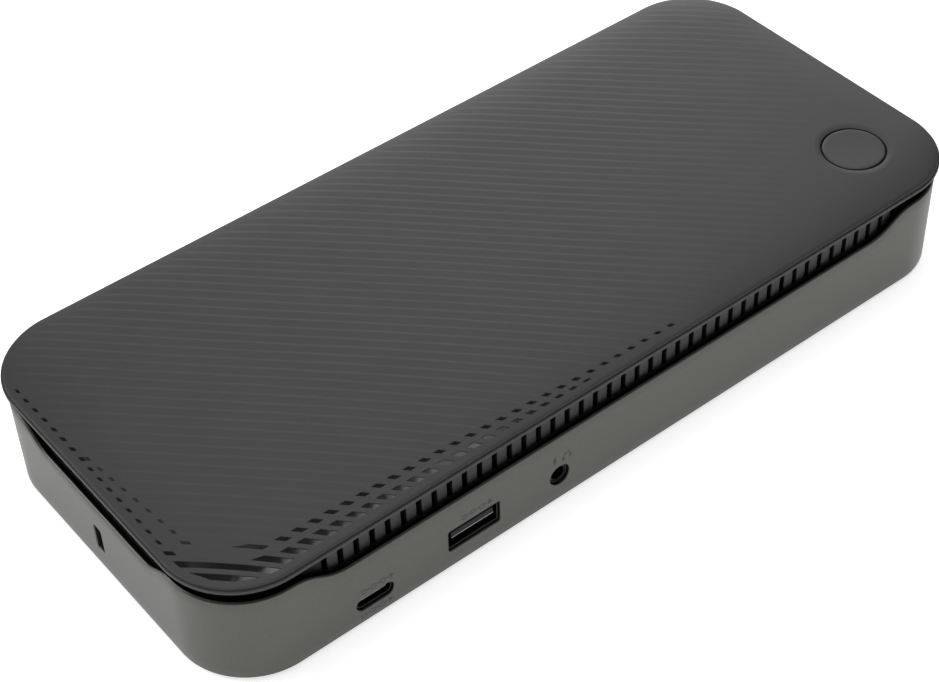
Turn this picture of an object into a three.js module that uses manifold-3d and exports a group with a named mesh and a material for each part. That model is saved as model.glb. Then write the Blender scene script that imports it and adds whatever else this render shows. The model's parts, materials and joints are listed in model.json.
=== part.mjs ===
// Laptop docking station: an aluminium band between a ridged plastic lid and a base plate, with
// its sockets, boards, heat sink and a sprung power button. Millimetres, +Z up. The origin is
// under the middle of the object, on the desk: +X runs along its length and the front faces -Y.

import * as THREE from 'three';
import { mergeVertices } from 'three/addons/utils/BufferGeometryUtils.js';
import Module from 'manifold-3d';

const wasm = await Module();
wasm.setup();

// Driving dimensions.
const LENGTH = 210;
const WIDTH = 93;
const CORNER_RADIUS = 17.9;
const HEIGHT = 30.6;
const BASE_Z = 1; // underside of the base plate, held off the desk by the feet
const LID_EDGE_Z = 27.8;
const CORNER_STEPS = 6;

const BAND = {
  inset: 0.67, wall: 1.6, top: 24.45, chamfer: 0.35, ledge: 1.4, ledgeBottom: 2.7, ledgeTop: 3.7,
};
const FRONT_NOTCH = { floor: 20.05, halfFloor: 73, halfTop: 87.5 };
const SIDE_NOTCH = { floor: 20.5, halfFloor: 17.5, halfTop: 29.5 };

const VENT = {
  outer: 2.6, inner: 5.4, bottom: 18.8, top: LID_EDGE_Z - 0.02, slotWidth: 1.35, pitch: 3.905,
  frontSlots: 42, frontShift: 1.9, sideSlots: 11, slotBottom: 20, slotTop: 26.6,
};
const POST = { radius: 2.4, fromCorner: 11.5, bottom: 3.9, top: 20, bore: 1.25 };

const PLATE = { inset: 2.45, top: 2.65 };
const FOOT = { length: 26, width: 9, x: 68, y: 35.5, pocket: 0.4, play: 0.15 };
const BOARD = { inset: 7.5, bottom: 3.2, top: 4.8, screwX: 88, screwY: 20, bossRadius: 3 };

const BUTTON = {
  x: 85.1, y: -27.9, radius: 7.3, holeRadius: 7.65, top: 30.45, flangeRadius: 8.5,
  flangeTop: 28.5, flangeBottom: 27.7, stemRadius: 2, stemBottom: 25.05,
};
const SWITCH = {
  boardBottom: 18.4, boardTop: 20, size: 6, bodyTop: 23.4, wellBottom: 21.4, wellRadius: 1.9,
  plungerRadius: 1.5, plungerBottom: 22.2, plungerTop: 25, screwReach: 11.6,
};

const FACE_Y = WIDTH / 2 - BAND.inset; // outer face of the band, front and rear
const FACE_X = LENGTH / 2 - BAND.inset; // outer face of the band, left and right
const MOUTH_SETBACK = 0.6; // socket mouths sit this far inside the band's outer face
const CORNER_X = LENGTH / 2 - CORNER_RADIUS;
const CORNER_Y = WIDTH / 2 - CORNER_RADIUS;

const MATERIALS = {
  lid: [0x4b4b4c, 0.6, 0],
  vent: [0x454546, 0.65, 0],
  band: [0x75746f, 0.4, 1],
  blackPlastic: [0x161617, 0.55, 0],
  rubber: [0x1d1d1e, 0.9, 0],
  steel: [0xb4b5b6, 0.3, 1],
  gold: [0xc9a44c, 0.35, 1],
  laminate: [0x1d3b2a, 0.6, 0],
  chip: [0x202124, 0.5, 0],
  silicone: [0xb9bcc0, 0.8, 0],
  aluminium: [0xc3c5c7, 0.4, 1],
};

// ---- Solids ----

function toSolid(geometry) {
  const bare = geometry.clone();
  bare.deleteAttribute('normal');
  bare.deleteAttribute('uv');
  const merged = mergeVertices(bare, 1e-4);
  const mesh = new wasm.Mesh({
    numProp: 3,
    vertProperties: new Float32Array(merged.attributes.position.array),
    triVerts: new Uint32Array(merged.index.array),
  });
  return new wasm.Manifold(mesh);
}

function toGeometry(solid) {
  const mesh = solid.getMesh();
  const geometry = new THREE.BufferGeometry();
  geometry.setAttribute('position', new THREE.BufferAttribute(mesh.vertProperties, 3));
  geometry.setIndex(new THREE.BufferAttribute(mesh.triVerts, 1));
  geometry.computeVertexNormals();
  return geometry;
}

function join(solids) {
  return solids.reduce((whole, solid) => whole.add(solid));
}

function cut(solid, tools) {
  return tools.reduce((rest, tool) => rest.subtract(tool), solid);
}

function box(xLow, xHigh, yLow, yHigh, zLow, zHigh) {
  const geometry = new THREE.BoxGeometry(xHigh - xLow, yHigh - yLow, zHigh - zLow);
  geometry.translate((xLow + xHigh) / 2, (yLow + yHigh) / 2, (zLow + zHigh) / 2);
  return toSolid(geometry);
}

function rod(x, y, zLow, zHigh, radius, sides = 20) {
  const geometry = new THREE.CylinderGeometry(radius, radius, zHigh - zLow, sides);
  geometry.rotateX(Math.PI / 2);
  geometry.translate(x, y, (zLow + zHigh) / 2);
  return toSolid(geometry);
}

// An outline drawn in x and z, extruded along y from yLow to yHigh.
function alongY(shape, yLow, yHigh) {
  const options = { depth: yHigh - yLow, bevelEnabled: false, curveSegments: 4 };
  const geometry = new THREE.ExtrudeGeometry(shape, options);
  geometry.rotateX(Math.PI / 2);
  geometry.translate(0, yHigh, 0);
  return toSolid(geometry);
}

// The same for an outline drawn in y and z, extruded along x.
function alongX(shape, xLow, xHigh) {
  return alongY(shape, -xHigh, -xLow).rotate([0, 0, 90]);
}

// ---- Outlines ----

// The lid's outline moved inwards by inset, counter-clockwise, with the same number of points
// whatever the inset.
function outline(inset) {
  const radius = Math.max(CORNER_RADIUS - inset, 1.5);
  const x = LENGTH / 2 - inset - radius;
  const y = WIDTH / 2 - inset - radius;
  const points = [];
  [[x, y], [-x, y], [-x, -y], [x, -y]].forEach(([cx, cy], quarter) => {
    for (let step = 0; step <= CORNER_STEPS; step += 1) {
      const angle = (quarter + step / CORNER_STEPS) * (Math.PI / 2);
      points.push([cx + radius * Math.cos(angle), cy + radius * Math.sin(angle)]);
    }
  });
  return points;
}

// A solid through rows of [inset, z] around the lid's outline, taken outwards over the top, down
// the outside and back underneath. A ring closes on itself; otherwise both ends are capped.
function loft(rows, ring = false) {
  const count = outline(0).length;
  const positions = [];
  const indices = [];
  rows.forEach(([inset, z]) => outline(inset).forEach(([x, y]) => positions.push(x, y, z)));
  const last = ring ? rows.length : rows.length - 1;
  for (let row = 0; row < last; row += 1) {
    const here = row * count;
    const there = ((row + 1) % rows.length) * count;
    for (let i = 0; i < count; i += 1) {
      const next = (i + 1) % count;
      indices.push(here + i, there + i, there + next, here + i, there + next, here + next);
    }
  }
  if (!ring) {
    const end = (rows.length - 1) * count;
    for (let i = 1; i < count - 1; i += 1) {
      indices.push(0, i, i + 1, end, end + i + 1, end + i);
    }
  }
  const geometry = new THREE.BufferGeometry();
  geometry.setAttribute('position', new THREE.BufferAttribute(new Float32Array(positions), 3));
  geometry.setIndex(indices);
  return toSolid(geometry);
}

function roundedRect(width, height, radius) {
  const x = width / 2;
  const y = height / 2;
  const shape = new THREE.Shape();
  shape.moveTo(-x + radius, -y);
  shape.lineTo(x - radius, -y);
  shape.absarc(x - radius, -y + radius, radius, -Math.PI / 2, 0, false);
  shape.lineTo(x, y - radius);
  shape.absarc(x - radius, y - radius, radius, 0, Math.PI / 2, false);
  shape.lineTo(-x + radius, y);
  shape.absarc(-x + radius, y - radius, radius, Math.PI / 2, Math.PI, false);
  shape.lineTo(-x, -y + radius);
  shape.absarc(-x + radius, -y + radius, radius, Math.PI, Math.PI * 1.5, false);
  return shape;
}

function polygon(points) {
  return new THREE.Shape(points.map(([x, y]) => new THREE.Vector2(x, y)));
}

// The mouth outlines of the sockets, each grown by g on every side and centred on the origin.
const MOUTHS = {
  pill: (g) => roundedRect(9 + 2 * g, 3.2 + 2 * g, 1.59 + g),
  flat: (g) => roundedRect(13.3 + 2 * g, 5.6 + 2 * g, 0.4 + g),
  round: (g) => roundedRect(4.9 + 2 * g, 4.9 + 2 * g, 2.44 + g),
  barrel: (g) => roundedRect(7.4 + 2 * g, 7.4 + 2 * g, 3.69 + g),
  network: (g) => roundedRect(16 + 2 * g, 13.3 + 2 * g, 0.3 + g),
  // a flat video socket: wide at the top, its lower corners cut away
  tapered: (g) => polygon([
    [-7.4 - g, 2.9 + g], [-7.4 - g, -0.6 - g * 0.4], [-5.6 - g * 0.8, -2.9 - g],
    [5.6 + g * 0.8, -2.9 - g], [7.4 + g, -0.6 - g * 0.4], [7.4 + g, 2.9 + g],
  ].reverse()),
  // a notched video socket: a rectangle with one lower corner cut away
  notched: (g) => polygon([
    [-8.4 - g, 2.9 + g], [-8.4 - g, -2.9 - g], [6.2 + g * 0.4, -2.9 - g], [8.4 + g, -0.7 - g * 0.4],
    [8.4 + g, 2.9 + g],
  ].reverse()),
};

// Every socket in the band. Sizes are those of the kind of plug that each takes.
const FRONT = -1;
const REAR = 1;
const SOCKETS = [
  { name: 'front_usb_c', side: FRONT, x: -68.2, z: 6.6, mouth: 'pill', depth: 8 },
  { name: 'front_usb_a', side: FRONT, x: -42.45, z: 8.9, mouth: 'flat', depth: 14 },
  { name: 'laptop_usb_c', side: REAR, x: 62, z: 7, mouth: 'pill', depth: 8 },
  { name: 'video_flat_1', side: REAR, x: 42, z: 8.2, mouth: 'tapered', depth: 12 },
  { name: 'video_flat_2', side: REAR, x: 21.5, z: 8.2, mouth: 'tapered', depth: 12 },
  { name: 'video_notched_1', side: REAR, x: 0, z: 8.2, mouth: 'notched', depth: 14 },
  { name: 'video_notched_2', side: REAR, x: -21.5, z: 8.2, mouth: 'notched', depth: 14 },
  { name: 'rear_usb_a_1', side: REAR, x: -63, z: 8.9, mouth: 'flat', depth: 14 },
  { name: 'rear_usb_a_2', side: REAR, x: -79, z: 8.9, mouth: 'flat', depth: 14 },
];
const JACK = { name: 'audio_jack', side: FRONT, x: -19.3, z: 8.2, mouth: 'round', depth: 12 };
const INLET = { name: 'power_inlet', side: REAR, x: 78.5, z: 10.2, mouth: 'barrel', depth: 12 };
const NETWORK = { name: 'network', side: REAR, x: -42.5, z: 11.55, mouth: 'network', depth: 18 };
const LOCK = { y: 0.6, z: 10.3, width: 2.8, height: 7, plate: 1.5 };
const CUTOUT_PLAY = 0.2; // gap between a socket and its cut-out
const SHELL_WALL = 0.3;

// Tongues inside the sockets: width, thickness, how far above the middle, and set back.
const TONGUES = {
  pill: { width: 6.7, thick: 0.7, rise: 0, setback: 0.5 },
  flat: { width: 11.1, thick: 1.8, rise: 1.2, setback: 1.2 },
  tapered: { width: 10.6, thick: 1.3, rise: 0.5, setback: 1 },
  notched: { width: 12, thick: 1.2, rise: 0.3, setback: 1 },
};

// ---- Scene graph ----

const dock = new THREE.Group();

function addMesh(parent, name, geometry, materialName) {
  const [color, roughness, metalness] = MATERIALS[materialName];
  const material = new THREE.MeshStandardMaterial({ color, roughness, metalness });
  const mesh = new THREE.Mesh(geometry, material);
  mesh.name = name;
  parent.add(mesh);
  return mesh;
}

function addSolid(parent, name, solid, materialName) {
  return addMesh(parent, name, toGeometry(solid), materialName);
}

// ---- Casing ----

function topCover() {
  const shell = loft([
    [30, HEIGHT], [14, HEIGHT - 0.1], [7, HEIGHT - 0.4], [3, HEIGHT - 0.85], [1, HEIGHT - 1.35],
    [0.3, HEIGHT - 1.8], [0, HEIGHT - 2.0], [0, LID_EDGE_Z + 0.2], [0.1, LID_EDGE_Z],
    [6, LID_EDGE_Z],
    [6.6, HEIGHT - 2], [14, HEIGHT - 1.75], [30, HEIGHT - 1.7],
  ]);
  const bosses = switchScrewSpots().map(([x, y]) => rod(x, y, SWITCH.boardTop, HEIGHT - 1, 2.4));
  const holes = switchScrewSpots().map(([x, y]) => rod(x, y, 19, 24, 1.05, 12));
  const buttonHole = rod(BUTTON.x, BUTTON.y, 26, HEIGHT + 1, BUTTON.holeRadius, 48);
  return cut(join([shell, ...bosses]), [...holes, buttonHole]);
}

// The outline above a notch in the band's top edge, drawn in one horizontal direction and z.
function notchShape({ floor, halfFloor, halfTop }) {
  const high = BAND.top + 2;
  const bend = (halfTop - halfFloor) / 2;
  const shape = new THREE.Shape();
  shape.moveTo(-halfFloor, floor);
  shape.lineTo(halfFloor, floor);
  shape.bezierCurveTo(halfFloor + bend, floor, halfTop - bend, BAND.top, halfTop, BAND.top);
  shape.lineTo(halfTop, high);
  shape.lineTo(-halfTop, high);
  shape.lineTo(-halfTop, BAND.top);
  shape.bezierCurveTo(-halfTop + bend, BAND.top, -halfFloor - bend, floor, -halfFloor, floor);
  return shape;
}

function socketCutout({ side, x, z, mouth }) {
  const tool = alongY(MOUTHS[mouth](CUTOUT_PLAY), -4, 4);
  return tool.rotate([0, 0, side === REAR ? 180 : 0]).translate([x, side * FACE_Y, z]);
}

function bodyBand() {
  const inner = BAND.inset + BAND.wall;
  const { inset, top, chamfer, ledge, ledgeBottom, ledgeTop } = BAND;
  const ring = loft([
    [inner, top], [inset + chamfer, top], [inset, top - chamfer], [inset, BASE_Z + chamfer],
    [inset + chamfer, BASE_Z], [inner, BASE_Z], [inner, ledgeBottom],
    [inner + ledge, ledgeBottom], [inner + ledge, ledgeTop], [inner, ledgeTop],
  ], true);
  const slotShape = roundedRect(LOCK.width, LOCK.height, 0.6);
  const lockSlot = alongX(slotShape, -FACE_X - 2, -FACE_X + 4).translate([0, LOCK.y, LOCK.z]);
  return cut(ring, [
    alongY(notchShape(FRONT_NOTCH), -WIDTH, WIDTH),
    alongX(notchShape(SIDE_NOTCH), -LENGTH, LENGTH),
    ...[...SOCKETS, JACK, INLET, NETWORK].map(socketCutout),
    lockSlot,
  ]);
}

// Four spots, one in each corner, on the line from the corner's centre outwards.
function postSpots() {
  const reach = POST.fromCorner / Math.SQRT2;
  return [[-1, -1], [1, -1], [1, 1], [-1, 1]].map(([sx, sy]) => [
    sx * (CORNER_X + reach), sy * (CORNER_Y + reach),
  ]);
}

// The slotted frame under the lid, with the posts that take the base screws.
function ventFrame() {
  const { outer, inner, bottom, top } = VENT;
  const ring = loft([[inner, top], [outer, top], [outer, bottom], [inner, bottom]], true);
  const posts = postSpots().map(([x, y]) => rod(x, y, POST.bottom, POST.top, POST.radius, 16));
  const bores = postSpots().map(([x, y]) => rod(x, y, 3, 14, POST.bore, 12));
  return cut(join([ring, ...posts]), [...bores, ...ventSlots()]);
}

function ventSlots() {
  const { slotWidth, pitch, frontSlots, frontShift, sideSlots, inner } = VENT;
  const { slotBottom, slotTop } = VENT;
  const slots = [];
  const half = slotWidth / 2;
  const reach = inner + 0.5;
  for (let i = 0; i < frontSlots; i += 1) {
    const x = frontShift + (i - (frontSlots - 1) / 2) * pitch;
    const edge = WIDTH / 2;
    slots.push(box(x - half, x + half, -edge, -edge + reach, slotBottom, slotTop));
    slots.push(box(x - half, x + half, edge - reach, edge, slotBottom, slotTop));
  }
  for (let i = 0; i < sideSlots; i += 1) {
    const y = (i - (sideSlots - 1) / 2) * pitch;
    const edge = LENGTH / 2;
    slots.push(box(-edge, -edge + reach, y - half, y + half, slotBottom, slotTop));
    slots.push(box(edge - reach, edge, y - half, y + half, slotBottom, slotTop));
  }
  return slots;
}

function footSpots() {
  return [[-1, -1], [1, -1], [1, 1], [-1, 1]].map(([sx, sy]) => [sx * FOOT.x, sy * FOOT.y]);
}

function footSolid(grow, zLow, zHigh) {
  const shape = roundedRect(FOOT.length + 2 * grow, FOOT.width + 2 * grow, FOOT.width / 2 + grow - 0.01);
  const options = { depth: zHigh - zLow, bevelEnabled: false, curveSegments: 4 };
  const geometry = new THREE.ExtrudeGeometry(shape, options);
  geometry.translate(0, 0, zLow);
  return toSolid(geometry);
}

function boardScrewSpots() {
  const { screwX, screwY } = BOARD;
  return [[-screwX, -screwY], [screwX, -screwY], [screwX, screwY], [-screwX, screwY]];
}

function basePlate() {
  const plate = loft([[PLATE.inset, PLATE.top], [PLATE.inset, BASE_Z]]);
  const bosses = boardScrewSpots().map(([x, y]) => (
    rod(x, y, PLATE.top - 0.1, BOARD.bottom, BOARD.bossRadius, 16)
  ));
  const bossHoles = boardScrewSpots().map(([x, y]) => rod(x, y, 1.6, 4, 1.05, 12));
  const pockets = footSpots().map(([x, y]) => (
    footSolid(FOOT.play, BASE_Z - 1, BASE_Z + FOOT.pocket).translate([x, y, 0])
  ));
  const seats = postSpots().map(([x, y]) => rod(x, y, 0, 1.9, 2.4, 16));
  const holes = postSpots().map(([x, y]) => rod(x, y, 0, 4, 1.3, 12));
  return cut(join([plate, ...bosses]), [...bossHoles, ...pockets, ...seats, ...holes]);
}

// A flat-headed screw as a profile turned about Z, its head's outer face at z = 0, shank up.
function screwGeometry(headRadius, headHeight, shankRadius, length) {
  const profile = [
    [0, 0], [headRadius, 0], [headRadius, headHeight], [shankRadius, headHeight],
    [shankRadius, length], [0, length],
  ].map(([r, z]) => new THREE.Vector2(r, z));
  return new THREE.LatheGeometry(profile, 12).rotateX(Math.PI / 2);
}

// ---- Sockets ----

// A sheet-metal shell, mouth at y = 0 facing -Y, closed at the back.
function socketShell(mouth, depth) {
  const outer = alongY(MOUTHS[mouth](0), 0, depth);
  return outer.subtract(alongY(MOUTHS[mouth](-SHELL_WALL), -1, depth - 0.6));
}

function addSocket({ name, side, x, z, mouth, depth }) {
  const place = new THREE.Group();
  place.position.set(x, side * (FACE_Y - MOUTH_SETBACK), z);
  place.rotation.z = side === REAR ? Math.PI : 0;
  addSolid(place, `${name}_shell`, socketShell(mouth, depth), 'steel');
  const { width, thick, rise, setback } = TONGUES[mouth];
  const back = depth - 0.65;
  const tongue = new THREE.BoxGeometry(width, back - setback, thick);
  tongue.translate(0, (back + setback) / 2, rise);
  addMesh(place, `${name}_tongue`, tongue, 'blackPlastic');
  dock.add(place);
}

function addAudioJack() {
  const place = new THREE.Group();
  place.position.set(JACK.x, -(FACE_Y - MOUTH_SETBACK), JACK.z);
  const boreRadius = 1.8;
  const nose = alongY(MOUTHS.round(0), 0, 2.5);
  const body = box(-3.1, 3.1, 2.2, JACK.depth, -3.2, 3);
  const bore = alongY(roundedRect(2 * boreRadius, 2 * boreRadius, boreRadius - 0.01), -1, 10.5);
  const seat = alongY(roundedRect(4.3, 4.3, 2.14), -1, 1.2);
  addSolid(place, 'audio_jack_body', cut(nose.add(body), [bore, seat]), 'blackPlastic');
  const bush = alongY(roundedRect(4.1, 4.1, 2.04), 0, 1.1);
  const bushHole = alongY(roundedRect(3.5, 3.5, 1.74), -1, 2);
  addSolid(place, 'audio_jack_bush', bush.subtract(bushHole), 'steel');
  dock.add(place);
}

function addPowerInlet() {
  const place = new THREE.Group();
  place.position.set(INLET.x, FACE_Y - MOUTH_SETBACK, INLET.z);
  place.rotation.z = Math.PI;
  const nose = alongY(MOUTHS.barrel(0), 0, 2.5);
  const body = box(-4.5, 4.5, 2.2, INLET.depth, -5.1, 5);
  const bore = alongY(roundedRect(5.6, 5.6, 2.79), -1, 10);
  addSolid(place, 'power_inlet_body', nose.add(body).subtract(bore), 'blackPlastic');
  const pin = alongY(roundedRect(2, 2, 0.99), 1.5, 9.95);
  addSolid(place, 'power_inlet_pin', pin, 'steel');
  dock.add(place);
}

function addNetworkSocket() {
  const place = new THREE.Group();
  place.position.set(NETWORK.x, FACE_Y - MOUTH_SETBACK, NETWORK.z);
  place.rotation.z = Math.PI;
  const { depth } = NETWORK;
  const plugSpace = box(-5.95, 5.95, -1, 13.5, -3.6, 4.6);
  const latchSpace = box(-3.2, 3.2, -1, 9, -5.4, -3);
  const shell = alongY(MOUTHS.network(0), 0, depth);
  addSolid(place, 'network_socket_shell', cut(shell, [plugSpace, latchSpace]), 'steel');
  const block = box(-5.2, 5.2, 1.5, 13.4, 3.2, 4.5);
  addSolid(place, 'network_socket_contacts', block, 'gold');
  dock.add(place);
}

function addLockPlate() {
  const inner = -FACE_X + BAND.wall + 0.15;
  const plate = box(inner, inner + LOCK.plate, LOCK.y - 9, LOCK.y + 9, 4.9, 16);
  const slot = alongX(roundedRect(LOCK.width, LOCK.height, 0.6), inner - 1, inner + 4);
  addSolid(dock, 'lock_slot_plate', plate.subtract(slot.translate([0, LOCK.y, LOCK.z])), 'steel');
}

// ---- Boards, chips and cooling ----

function mainBoard() {
  const board = loft([[BOARD.inset, BOARD.top], [BOARD.inset, BOARD.bottom]]);
  const holes = boardScrewSpots().map(([x, y]) => rod(x, y, 2, 6, 1.2, 12));
  const reliefs = postSpots().map(([x, y]) => rod(x, y, 2, 6, POST.radius + 0.6, 16));
  return cut(board, [...holes, ...reliefs]);
}

const COOLING = { xLow: -50, xHigh: 30, yLow: -24, yHigh: 24, bottom: 7.4, top: 9.4, finTop: 19 };
const CHIPS = [
  { name: 'hub_chip', x: -10, y: 0, size: 14, height: 1.6, material: 'chip' },
  { name: 'video_chip', x: -36, y: 6, size: 12, height: 1.6, material: 'chip' },
  { name: 'network_chip', x: -62, y: 8, size: 9, height: 1.2, material: 'chip' },
  { name: 'power_coil', x: 66, y: 8, size: 11, height: 5, material: 'chip' },
];

function heatSink() {
  const { xLow, xHigh, yLow, yHigh, bottom, top, finTop } = COOLING;
  const fins = [];
  const finCount = 10;
  const finThickness = 1.2;
  for (let i = 0; i < finCount; i += 1) {
    const y = yLow + ((yHigh - yLow - finThickness) * i) / (finCount - 1);
    fins.push(box(xLow, xHigh, y, y + finThickness, top - 0.5, finTop));
  }
  return join([box(xLow, xHigh, yLow, yHigh, bottom, top), ...fins]);
}

function addElectronics() {
  addSolid(dock, 'main_board', mainBoard(), 'laminate');
  CHIPS.forEach(({ name, x, y, size, height, material }) => {
    const chip = addMesh(dock, name, new THREE.BoxGeometry(size, size, height), material);
    chip.position.set(x, y, BOARD.top + height / 2);
  });
  const padHeight = COOLING.bottom - BOARD.top - CHIPS[0].height;
  const pad = addMesh(dock, 'thermal_pad', new THREE.BoxGeometry(15, 15, padHeight), 'silicone');
  pad.position.set(CHIPS[0].x, CHIPS[0].y, COOLING.bottom - padHeight / 2);
  addSolid(dock, 'heat_sink', heatSink(), 'aluminium');
  [-6, -17].forEach((y, i) => {
    const can = new THREE.CylinderGeometry(4, 4, 9, 20).rotateX(Math.PI / 2);
    addMesh(dock, `capacitor_${i + 1}`, can, 'aluminium').position.set(66, y, BOARD.top + 4.5);
  });
}

// ---- Power button ----

function switchScrewSpots() {
  return [[BUTTON.x - SWITCH.screwReach, BUTTON.y], [BUTTON.x, BUTTON.y + SWITCH.screwReach]];
}

function buttonGeometry() {
  const { radius, top, flangeRadius, flangeTop, flangeBottom, stemRadius, stemBottom } = BUTTON;
  const profile = [
    [0, stemBottom], [stemRadius, stemBottom], [stemRadius, flangeBottom],
    [flangeRadius, flangeBottom], [flangeRadius, flangeTop], [radius, flangeTop],
    [radius, top - 0.25], [radius - 0.25, top], [0, top],
  ].map(([r, z]) => new THREE.Vector2(r, z));
  return new THREE.LatheGeometry(profile, 36).rotateX(Math.PI / 2);
}

// A rubber dome around the switch that pushes the button back up.
function domeGeometry() {
  const low = SWITCH.boardTop + 0.05;
  const high = BUTTON.flangeBottom - 0.1;
  const profile = [[5.7, low], [6.6, low], [4.6, high], [3.7, high], [5.7, low]];
  const points = profile.map(([r, z]) => new THREE.Vector2(r, z));
  return new THREE.LatheGeometry(points, 20).rotateX(Math.PI / 2);
}

// A flat cable from under the switch board down to the main board, in one S-bend.
function flatCable() {
  const top = SWITCH.boardBottom - 0.05;
  const bottom = BOARD.top + 0.05;
  const half = 0.15;
  const curve = new THREE.CubicBezierCurve(
    new THREE.Vector2(76, top), new THREE.Vector2(76, top - 8),
    new THREE.Vector2(82, bottom + 8), new THREE.Vector2(82, bottom),
  );
  const line = curve.getPoints(10);
  const edge = [
    ...line.map((p) => [p.x + half, p.y]), ...line.reverse().map((p) => [p.x - half, p.y]),
  ];
  return alongY(polygon(edge.reverse()), -24, -17);
}

function switchBoard() {
  const board = box(BUTTON.x - 14.5, 90, -33, BUTTON.y + 14.5, SWITCH.boardBottom, SWITCH.boardTop);
  return cut(board, switchScrewSpots().map(([x, y]) => rod(x, y, 18, 21, 1.2, 12)));
}

function addPowerButton() {
  const place = new THREE.Group();
  place.position.set(BUTTON.x, BUTTON.y, 0);
  addMesh(place, 'power_button', buttonGeometry(), 'lid');
  addMesh(place, 'button_dome', domeGeometry(), 'rubber');
  const half = SWITCH.size / 2;
  const housing = box(-half, half, -half, half, SWITCH.boardTop, SWITCH.bodyTop);
  const well = rod(0, 0, SWITCH.wellBottom, SWITCH.bodyTop + 1, SWITCH.wellRadius, 16);
  addSolid(place, 'switch_housing', housing.subtract(well), 'blackPlastic');
  const { plungerRadius, plungerBottom, plungerTop } = SWITCH;
  const plunger = rod(0, 0, plungerBottom, plungerTop, plungerRadius, 16);
  addSolid(place, 'switch_plunger', plunger, 'silicone');
  dock.add(place);
  addSolid(dock, 'switch_board', switchBoard(), 'laminate');
  addSolid(dock, 'switch_cable', flatCable(), 'gold');
}

// ---- Fasteners and feet ----

function addScrews(prefix, spots, geometry, z, flip) {
  spots.forEach(([x, y], i) => {
    const screw = addMesh(dock, `${prefix}_${i + 1}`, geometry.clone(), 'steel');
    screw.position.set(x, y, z);
    screw.rotation.x = flip ? Math.PI : 0;
  });
}

function addFeet() {
  footSpots().forEach(([x, y], i) => {
    const foot = footSolid(0, 0, BASE_Z + FOOT.pocket - 0.01);
    addSolid(dock, `foot_${i + 1}`, foot, 'rubber').position.set(x, y, 0);
  });
}

addSolid(dock, 'top_cover', topCover(), 'lid');
addSolid(dock, 'vent_frame', ventFrame(), 'vent');
addSolid(dock, 'body_band', bodyBand(), 'band');
addSolid(dock, 'base_plate', basePlate(), 'blackPlastic');
addFeet();
addScrews('base_screw', postSpots(), screwGeometry(2.1, 0.7, 1, 10), BASE_Z + 0.15, false);
addScrews('board_screw', boardScrewSpots(), screwGeometry(2.1, 0.9, 0.9, 3.8), 5.72, true);
addScrews('switch_screw', switchScrewSpots(), screwGeometry(1.8, 0.9, 0.9, 5.5), 17.45, false);
SOCKETS.forEach(addSocket);
addAudioJack();
addPowerInlet();
addNetworkSocket();
addLockPlate();
addElectronics();
addPowerButton();

export default dock;
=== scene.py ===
"""Laptop docking station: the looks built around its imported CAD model.

Shapes are worked out in millimetres in the row frame (+X along the length, the front faces -Y,
+Z up) and turned into metres when a mesh is made.
"""

import json
import math

import bmesh
import bpy
from mathutils import Matrix, Vector
from mathutils.geometry import delaunay_2d_cdt


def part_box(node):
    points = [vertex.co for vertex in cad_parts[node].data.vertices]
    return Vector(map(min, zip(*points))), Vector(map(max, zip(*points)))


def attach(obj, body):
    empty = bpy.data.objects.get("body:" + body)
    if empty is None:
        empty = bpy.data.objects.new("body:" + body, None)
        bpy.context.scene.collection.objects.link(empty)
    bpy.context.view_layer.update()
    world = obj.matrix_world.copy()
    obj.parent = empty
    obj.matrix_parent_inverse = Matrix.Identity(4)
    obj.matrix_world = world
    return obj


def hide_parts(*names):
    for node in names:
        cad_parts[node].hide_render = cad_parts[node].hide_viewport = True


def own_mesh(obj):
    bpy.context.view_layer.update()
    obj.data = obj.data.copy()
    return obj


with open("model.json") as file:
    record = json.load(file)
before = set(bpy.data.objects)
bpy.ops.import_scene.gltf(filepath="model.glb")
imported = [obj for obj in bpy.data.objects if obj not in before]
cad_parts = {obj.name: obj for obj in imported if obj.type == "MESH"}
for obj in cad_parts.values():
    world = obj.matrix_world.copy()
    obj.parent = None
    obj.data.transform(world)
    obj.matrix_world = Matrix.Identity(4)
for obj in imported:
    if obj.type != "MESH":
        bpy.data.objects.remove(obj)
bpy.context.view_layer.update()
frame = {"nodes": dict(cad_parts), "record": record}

MM = 0.001
OPEN, CAPPED = (False, False), (True, True)  # the two ends of a skin


def node_box(name):
    """A CAD node's lowest and highest corner, in millimetres."""
    low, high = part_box(name)
    return low / MM, high / MM


_, LID_HIGH = node_box("top_cover")
BAND_LOW, BAND_HIGH = node_box("body_band")
BUTTON_LOW, BUTTON_HIGH = node_box("power_button")
HALF_LENGTH = LID_HIGH.x
HALF_WIDTH = LID_HIGH.y
CORNER_RADIUS = 17.9
LID_TOP = LID_HIGH.z
LID_EDGE_Z = 27.8
BAND_INSET = HALF_LENGTH - BAND_HIGH.x
BAND_WALL = 1.6
FACE_Y = BAND_HIGH.y
CORNER_X = HALF_LENGTH - CORNER_RADIUS
CORNER_Y = HALF_WIDTH - CORNER_RADIUS

BUTTON_X = (BUTTON_LOW.x + BUTTON_HIGH.x) / 2
BUTTON_Y = (BUTTON_LOW.y + BUTTON_HIGH.y) / 2
BUTTON_TOP = BUTTON_HIGH.z
BUTTON_RADIUS = 7.3
HOLE_RADIUS = 7.65
HOLE_ROUNDING = 0.25


# ---- Mesh building ----


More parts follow.
